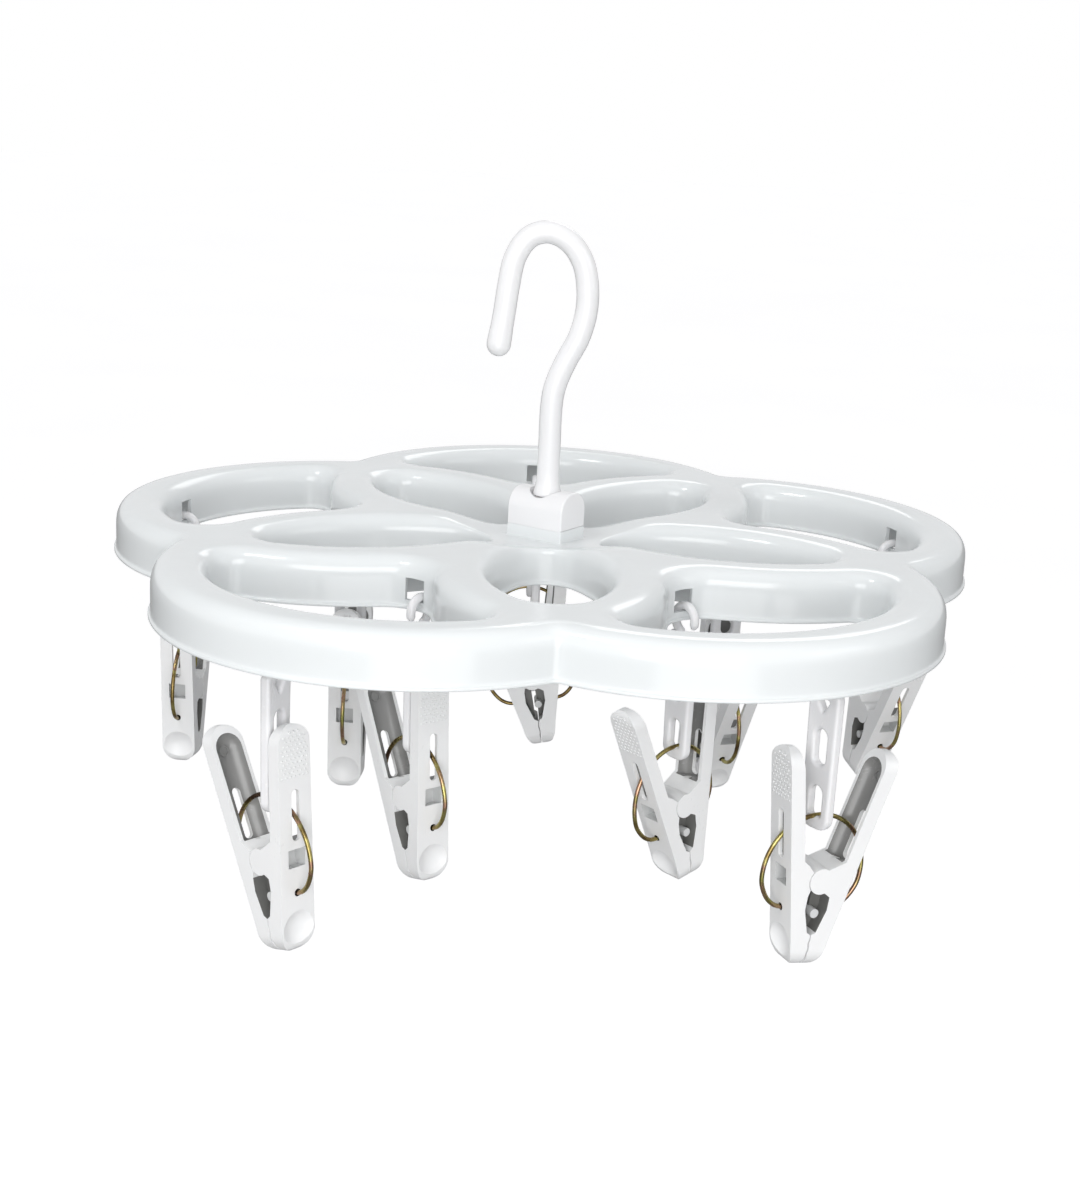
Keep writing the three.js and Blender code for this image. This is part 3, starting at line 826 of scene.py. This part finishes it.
def lever_face_outline():
    """The front view of a lever: two round ends, as (across, height) points."""
    low = [(PEG_HALF * math.cos(math.radians(a)), PEG_HALF - 0.2 + PEG_HALF * math.sin(math.radians(a)))
           for a in range(180, 361, 9)]
    top = PEG_HALF - 0.4
    high = [(top * math.cos(math.radians(a)), PEG_LENGTH - 0.2 - top - 0.2 + top * math.sin(math.radians(a)))
            for a in range(0, 181, 9)]
    return low + high


def rod_tool(name, start, end, radius, sides=40, round_end=False):
    """A straight round tool in the plane of the peg, with a ball on its end where asked."""
    a, b = Vector(start), Vector(end)
    route, radii = [a, b], [radius, radius]
    if round_end:
        ahead = (b - a).normalized()
        for i in range(1, 9):
            angle = math.pi / 2 * i / 8.3
            route.append(b + ahead * radius * math.sin(angle))
            radii.append(radius * math.cos(angle))
    normal = (0, 1, 0) if abs((b - a).normalized().y) < 0.9 else (0, 0, 1)
    return piece_from(name, *sweep(route, radii, normal, sides))


def slab_tool(name, x, y, z, sag=0.0):
    """A box between two corners, following the slope of the outer face by sag at its top."""
    outline = [(x[0], z[0]), (x[1], z[0]), (x[1] + sag, z[1]), (x[0] + sag, z[1])]
    return piece_from(name, *prism(outline, y[0], y[1], lambda u, v, w: (u, w, v)))


def ball_tool(name, centre, radius):
    c = Vector(centre)
    steps = 24
    route = [c + Vector((0, 0, -radius * math.cos(math.pi * (i + 0.25) / (steps + 0.5)))) for i in range(steps + 1)]
    radii = [radius * math.sin(math.pi * (i + 0.25) / (steps + 0.5)) for i in range(steps + 1)]
    return piece_from(name, *sweep(route, radii, (0, 1, 0), 48))


def grip_dots():
    """The small raised dots on the end of a handle."""
    along = Vector((math.sin(LEVER_LEAN), 0, math.cos(LEVER_LEAN)))
    out = Vector((math.cos(LEVER_LEAN), 0, -math.sin(LEVER_LEAN)))
    foot = Vector((outer_face(54.5), 0, 54.5))
    pitch, radius, rise, sides = 1.6, 0.42, 0.24, 10
    vertices, faces = [], []
    for row in range(11):
        for column in range(-3, 4):
            y = (column + 0.5 * (row % 2)) * pitch
            climb = row * pitch * 0.87
            if math.hypot(y, max(0, climb - 9.6)) > 5:
                continue
            centre = foot + along * climb + Vector((0, y, 0))
            first = len(vertices)
            for level, share in ((-0.3, 1), (0.02, 1), (rise * 0.75, 0.62)):
                for k in range(sides):
                    a = 2 * math.pi * k / sides
                    vertices.append(centre + out * level + radius * share
                                    * (math.cos(a) * along + math.sin(a) * Vector((0, 1, 0))))
            vertices.append(centre + out * rise)
            for level in (0, sides):
                faces += [(first + level + k, first + level + (k + 1) % sides,
                           first + level + sides + (k + 1) % sides, first + level + sides + k) for k in range(sides)]
            peak = first + 3 * sides
            faces += [(first + 2 * sides + k, first + 2 * sides + (k + 1) % sides, peak) for k in range(sides)]
            faces.append(tuple(first + k for k in range(sides)))
    return vertices, faces


def lever_mesh(has_knuckle):
    """One lever on the +x side of its peg, with every recess, as a mesh that its copies share."""
    def painted(tool, material):
        tool.data.materials.clear()
        tool.data.materials.append(material)
        return tool

    side = lever_outline(has_knuckle)
    lever = painted(piece_from("lever", *prism(side, -PEG_HALF, PEG_HALF, lambda u, v, w: (u, w, v))), peg_plastic)
    face = prism(lever_face_outline(), -2 * PEG_HALF, 4 * PEG_HALF, lambda u, v, w: (w, u, v))
    carve(lever, "INTERSECT", painted(piece_from("face", *face), peg_plastic))

    round_edges(lever, 0.5, 35, 3)

    # The web in the pocket is coloured with painted shade.
    web = slab_tool("web", (0.45 if has_knuckle else 1.2, 4.3), (-1.4, 1.4), (11.2, 23.4))
    carve(lever, "UNION", painted(web, recess_painted_shade))
    # The button is coloured with the window's painted shade.
    if has_knuckle:
        button = rod_tool("button", (0.9, -4.6, 17.8), (0.9, 4.6, 17.8), 1.5, 28)
        carve(lever, "UNION", painted(button, window_painted_shade))

    # The channel, the ejector mark in it and the pit in the mark are coloured with painted shade.
    inner = LEVER_THICKNESS + 1.3
    channel = rod_tool("channel", (outer_face(35.2) - inner, 0, 35.2), (outer_face(63.6) - inner, 0, 63.6),
                       5.0, 48, round_end=True)
    carve(lever, "DIFFERENCE", painted(channel, channel_painted_shade))
    floor = Vector((outer_face(62.2) - 1.4, 0, 62.2))
    inward = Vector((-math.cos(LEVER_LEAN), 0, math.sin(LEVER_LEAN)))
    mark = rod_tool("mark", floor - 0.6 * inward, floor + 0.55 * inward, 1.8, 32)
    carve(lever, "UNION", painted(mark, channel_painted_shade))
    middle = rod_tool("middle", floor + 0.15 * inward, floor + 3 * inward, 1.3, 32)
    carve(lever, "DIFFERENCE", painted(middle, channel_painted_shade))

    slot = slab_tool("slot", (2, 26), (-1.5, 1.5), (36, 49))
    slot_ends = [rod_tool("slot_end", (2, 0, z), (26, 0, z), 1.5, 24) for z in (36, 49)]
    # The window's walls are coloured with painted shade.
    window = slab_tool("window", (6.4, 16), (-3.2, 3.2), (26.3, 32))
    carve(lever, "DIFFERENCE", painted(slot, peg_plastic), *[painted(t, peg_plastic) for t in slot_ends],
          painted(window, window_painted_shade))
    # The wire hole's walls are coloured with the pocket's painted shade.
    hole = rod_tool("hole", (outer_face(WIRE_HOLE_HEIGHT) - 3, 0, WIRE_HOLE_HEIGHT - 0.4),
                    (outer_face(WIRE_HOLE_HEIGHT) + 3, 0, WIRE_HOLE_HEIGHT + 0.4), 1.15, 20)
    carve(lever, "DIFFERENCE", painted(hole, recess_painted_shade))

    dimple_radius, dimple_depth, dimple_height = 8.6, 1.7, 8.1
    lean = LEVER_LEAN + math.radians(9)
    centre_x = outer_face(dimple_height) - 0.35 + (dimple_radius - dimple_depth) * math.cos(lean)
    dimple = ball_tool("dimple", (centre_x, 0, dimple_height - (dimple_radius - dimple_depth) * math.sin(lean)),
                       dimple_radius)
    carve(lever, "DIFFERENCE", painted(dimple, peg_plastic))
    soften(lever, 0.16, 40)
    paint_pocket_shade(lever.data)

    dots = painted(piece_from("dots", *grip_dots()), peg_plastic)
    dots.data.shade_smooth()
    return mesh_of(joined([lever, dots]))


def paint_pocket_shade(mesh):
    """Paints shade on the walls of the space between a lever's pivot and its jaw, by giving them the dark
    painted-shade material.
    """
    shaded = list(mesh.materials).index(recess_painted_shade)
    for face in mesh.polygons:
        x, y, z = face.center / MM
        if x < 4.5 and abs(y) < 6 and 11.7 < z < 24.6 and mesh.materials[face.material_index] == peg_plastic:
            face.material_index = shaded


def wire_route():
    """The open wire ring, from one lever's hole over the top to the other's."""
    tail = [(7.2, 18.2), (9.0, 18.25), (11.7, 18.9), (14.5, 20.9), (16.7, 24.1)]
    turns = [math.radians(a) for a in range(-8, 189, 14)]
    ring = [(WIRE_RING_HALF_WIDTH * math.cos(a), WIRE_RING_HEIGHT + WIRE_RING_RADIUS * math.sin(a)) for a in turns]
    far = [(-x, z) for x, z in tail[::-1]]
    return smooth_route([(x, 0, z) for x, z in tail + ring + far], 6)


def peg_place(label):
    """A peg's own coordinates in the row frame, from its pivot and the way that its jaws point."""
    opening = joints[f"{label}_open"]
    pivot = Vector(opening["pos_m"])
    up = -Vector(mounts[f"{label}_jaws"]["axis"]).normalized()
    across = Vector(opening["axis"]).normalized()
    out = across.cross(up).normalized()
    place = Matrix((out, across, up)).transposed().to_4x4()
    place.translation = pivot - up * PEG_PIVOT * MM
    return place


def has_knuckle(node, place, side):
    """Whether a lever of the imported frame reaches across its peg's pivot."""
    back = place.inverted()
    return min(side * (back @ v.co).x for v in frame["nodes"][node].data.vertices) < -2 * MM


def build_peg(label, meshes, wire):
    place = peg_place(label)
    half_turn = Matrix.Rotation(math.pi, 4, "Z")
    for lever, side, body in (("near_lever", 1, label), ("far_lever", -1, f"{label}_jaw")):
        node = f"{label}_{lever}"
        mesh = meshes[has_knuckle(node, place, side)]
        piece = placed_copy(f"{node}_moulding", mesh, place if side == 1 else place @ half_turn)
        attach(piece, body)
        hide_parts(node)
    spring = piece_from(f"{label}_wire_ring", *wire, place)
    spring.data.shade_smooth()
    spring.data.materials.append(spring_wire)
    reach = outer_face(WIRE_HOLE_HEIGHT) * MM
    side = Vector((reach, 0, 0))
    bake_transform(spring)
    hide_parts(f"{label}_spring")


# ---------------------------------------------------------------- links

def link_mesh():
    """The flat strap with two openings and a notch, and the open ring on top of it."""
    def corners(spots, growth):
        return closed_outline([
            arc_points((x, z), radius, growth, math.radians(a), math.radians(b), 0.35) for x, z, radius, a, b in spots
        ])

    half = 6.2
    low_half, bottom = 5.7, -49
    outer = corners([
        (low_half - 4.2, bottom + 4.2, 4.2, -90, -4), (half - 2.2, -6.4, 2.2, -2, 68),
        (2.2 - half, -6.4, 2.2, 112, 182), (4.2 - low_half, bottom + 4.2, 4.2, 184, 270),
    ], -1)
    eye_bottom = -63.5 + WIRE_RING_RADIUS - WIRE_RADIUS - 0.15 + 0.9
    eye_half = 2.45
    eye = corners([
        (0, -34.9 - eye_half, eye_half, 0, 180), (-eye_half + 1, eye_bottom + 1, 1, 180, 270),
        (eye_half - 1, eye_bottom + 1, 1, 270, 360),
    ], 1)
    slot_half = 2.45
    slot = corners([(0, -16.6 - slot_half, slot_half, 0, 180), (0, -28.2 + slot_half, slot_half, 180, 360)], 1)
    notch = corners([(1.7, -7.6, 0.45, -30, 90), (-1.7, -7.6, 0.45, 90, 210), (0, -10.5, 0.45, 210, 330)], 1)
    rows = []
    for i in range(7):
        angle = math.pi / 2 * i / 6
        rows.append((LINK_ROUND * (1 - math.sin(angle)), -LINK_HALF_THICKNESS + LINK_ROUND * (1 - math.cos(angle))))
    rows += [(inset, -depth) for inset, depth in rows[::-1]]
    vertices, faces, back, front = [], [], [], []
    for outline in (outer, eye, slot, notch):
        base, count = len(vertices), len(outline)
        for inset, depth in rows:
            vertices += [(depth, y, z) for y, z in inset_row(outline, inset)]
        for row in range(len(rows) - 1):
            for k in range(count):
                a, b = base + row * count + k, base + row * count + (k + 1) % count
                faces.append((a, b, b + count, a + count))
        back.append([base + k for k in range(count)])
        front.append([base + (len(rows) - 1) * count + k for k in range(count)])
    loops = [[vertices[i][1:] for i in loop] for loop in back]
    inner, triangles = fill_between(loops, 1.2, 0.4)
    for side_loops, depth in ((back, -LINK_HALF_THICKNESS), (front, LINK_HALF_THICKNESS)):
        index = [i for loop in side_loops for i in loop] + list(range(len(vertices), len(vertices) + len(inner)))
        vertices += [(depth, y, z) for y, z in inner]
        faces += [tuple(index[i] for i in t) for t in triangles]
    strap = piece_from("link", vertices, faces)
    turns = [math.radians(-30 + 295 * i / 40) for i in range(41)]
    route = [Vector((0, LINK_RING_RADIUS * math.cos(a), LINK_RING_HEIGHT + LINK_RING_RADIUS * math.sin(a)))
             for a in turns]
    radii = [LINK_RING_SECTION * min(1, 0.55 + 0.45 * min(i, 40 - i) / 2) for i in range(41)]
    carve(strap, "UNION", piece_from("ring", *sweep(route, radii, (1, 0, 0), 24)))
    soften(strap, 0.25, 50)
    strap.data.materials.clear()
    strap.data.materials.append(link_plastic)
    return mesh_of(strap)


def link_place(label):
    """A link's own coordinates: below the joint in its ring, with y along the width of its strap."""
    ring = Vector(joints[f"{label}_swing"]["pos_m"])
    points = np.array([v.co for v in frame["nodes"][f"{label}_link"].data.vertices]) - np.array(ring)
    strap = points[points[:, 2] < -12 * MM][:, :2]
    spread = np.linalg.eigh(np.cov(strap.T))[1]
    across = Vector((*spread[:, 1], 0)).normalized()
    hanging = points[(points[:, 2] < -2 * MM) & (points[:, 2] > -3.6 * MM)]
    if float(np.mean(hanging @ np.array(across))) > 0:
        across = -across
    up = Vector((0, 0, 1))
    place = Matrix((across.cross(up), across, up)).transposed().to_4x4()
    place.translation = ring - up * LINK_RING_HEIGHT * MM
    return place


def build_link(label, mesh):
    piece = placed_copy(f"{label}_link_strap", mesh, link_place(label))
    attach(piece, f"{label}_link")
    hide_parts(f"{label}_link")


# ---------------------------------------------------------------- studio

def build_studio():
    """A pale floor that runs into a white surround, and soft light from above."""
    hub = hub_place().translation
    floor = bpy.data.meshes.new("floor")
    size, level = 30, hub.z - 0.90
    floor.from_pydata([(-size, -size, level), (size, -size, level), (size, size, level), (-size, size, level)],
                      [], [(0, 1, 2, 3)])
    ground = bpy.data.objects.new("floor", floor)
    bpy.context.scene.collection.objects.link(ground)
    paint = Nodes("floor_paint")
    seen = paint.add("ShaderNodeLightPath").outputs["Is Camera Ray"]
    cloud = paint.ramp(paint.noise(1.5, 2), [(0.3, (0.86, 0.86, 0.86)), (0.7, (0.88, 0.88, 0.88))])
    shade = paint.add("ShaderNodeMix", {0: seen, 6: (0.32, 0.32, 0.32, 1), 7: cloud}, data_type="RGBA")
    glow = paint.add("ShaderNodeMath", {0: seen, 1: 0.42}, operation="MULTIPLY")
    paint.finish(**{"Base Color": shade.outputs[2], "Roughness": 0.9, "Emission Color": (1, 1, 1, 1),
                    "Emission Strength": glow.outputs["Value"]})
    floor.materials.append(paint.material)

    world = bpy.data.worlds.new("studio")
    bpy.context.scene.world = world
    world.use_nodes = True
    nodes, links = world.node_tree.nodes, world.node_tree.links
    surround = nodes["Background"]
    ray = nodes.new("ShaderNodeLightPath")
    place = nodes.new("ShaderNodeTexCoord")
    split = nodes.new("ShaderNodeSeparateXYZ")
    ramp = nodes.new("ShaderNodeValToRGB")
    stops = [(0.0, 0.60), (0.46, 0.80), (0.56, 0.82), (0.72, 0.62), (1.0, 0.66)]
    for i, (position, value) in enumerate(stops):
        element = ramp.color_ramp.elements[i] if i < 2 else ramp.color_ramp.elements.new(position)
        element.position = position
        element.color = (value, value, value * 1.01, 1)
    height = nodes.new("ShaderNodeMapRange")
    height.inputs["From Min"].default_value = -1
    mix = nodes.new("ShaderNodeMix")
    mix.data_type = "RGBA"
    links.new(place.outputs["Generated"], split.inputs["Vector"])
    links.new(split.outputs["Z"], height.inputs["Value"])
    links.new(height.outputs["Result"], ramp.inputs["Fac"])
    links.new(ray.outputs["Is Camera Ray"], mix.inputs["Factor"])
    links.new(ramp.outputs["Color"], mix.inputs[6])
    mix.inputs[7].default_value = (1, 1, 1, 1)
    links.new(mix.outputs[2], surround.inputs["Color"])

    lamps = [
        ("key", (-0.55, -0.45, 0.85), 0.24, 2.2), ("fill", (0.95, -0.5, 0.45), 0.6, 1.0),
        ("back", (0.3, 0.9, 0.7), 0.6, 1.6), ("front", (-0.1, -1.1, 0.22), 0.8, 5.3),
        ("low_front", (0.1, -1.1, -0.3), 0.8, 2.4),
    ]
    for name, spot, width, power in lamps:
        light = bpy.data.lights.new(name, "AREA")
        light.shape = "RECTANGLE"
        light.size, light.size_y = width, width * 0.7
        light.energy = power
        lamp = bpy.data.objects.new(name, light)
        bpy.context.scene.collection.objects.link(lamp)
        lamp.location = hub + Vector(spot)
        lamp.rotation_mode = "QUATERNION"
        lamp.rotation_quaternion = (hub - lamp.location).to_track_quat("-Z", "Y")


def build_camera():
    """The camera at eye level in front of the rack, looking at the middle of the hub's base."""
    azimuth, elevation, roll = (math.radians(a) for a in (2.18, 14.27, 2.77))
    distance = 0.6577
    hub = hub_place().translation
    back = Vector((-math.sin(azimuth) * math.cos(elevation), -math.cos(azimuth) * math.cos(elevation),
                   math.sin(elevation)))
    camera = bpy.data.objects.new("camera", bpy.data.cameras.new("camera"))
    bpy.context.scene.collection.objects.link(camera)
    right = Vector((0, 0, 1)).cross(back).normalized()
    up = back.cross(right)
    tilted_right = math.cos(roll) * right + math.sin(roll) * up
    tilted_up = math.cos(roll) * up - math.sin(roll) * right
    place = Matrix((tilted_right, tilted_up, back)).transposed().to_4x4()
    place.translation = hub + back * distance
    camera.matrix_world = place
    camera.data.lens = 54.7
    camera.data.shift_x = -0.0029
    camera.data.shift_y = -0.0204
    camera.data.clip_start = 0.01
    bpy.context.scene.camera = camera


build_camera()
build_studio()
build_frame()
build_hook_block()
build_hook()
lever_meshes = {knuckle: lever_mesh(knuckle) for knuckle in (True, False)}
wire_points = wire_route()
wire_surface = sweep(wire_points, [WIRE_RADIUS] * len(wire_points), (0, 1, 0), 16)
strap_mesh = link_mesh()
for peg in pegs:
    build_link(peg, strap_mesh)
    build_peg(peg, lever_meshes, wire_surface)

bpy.context.scene.view_settings.view_transform = "Standard"
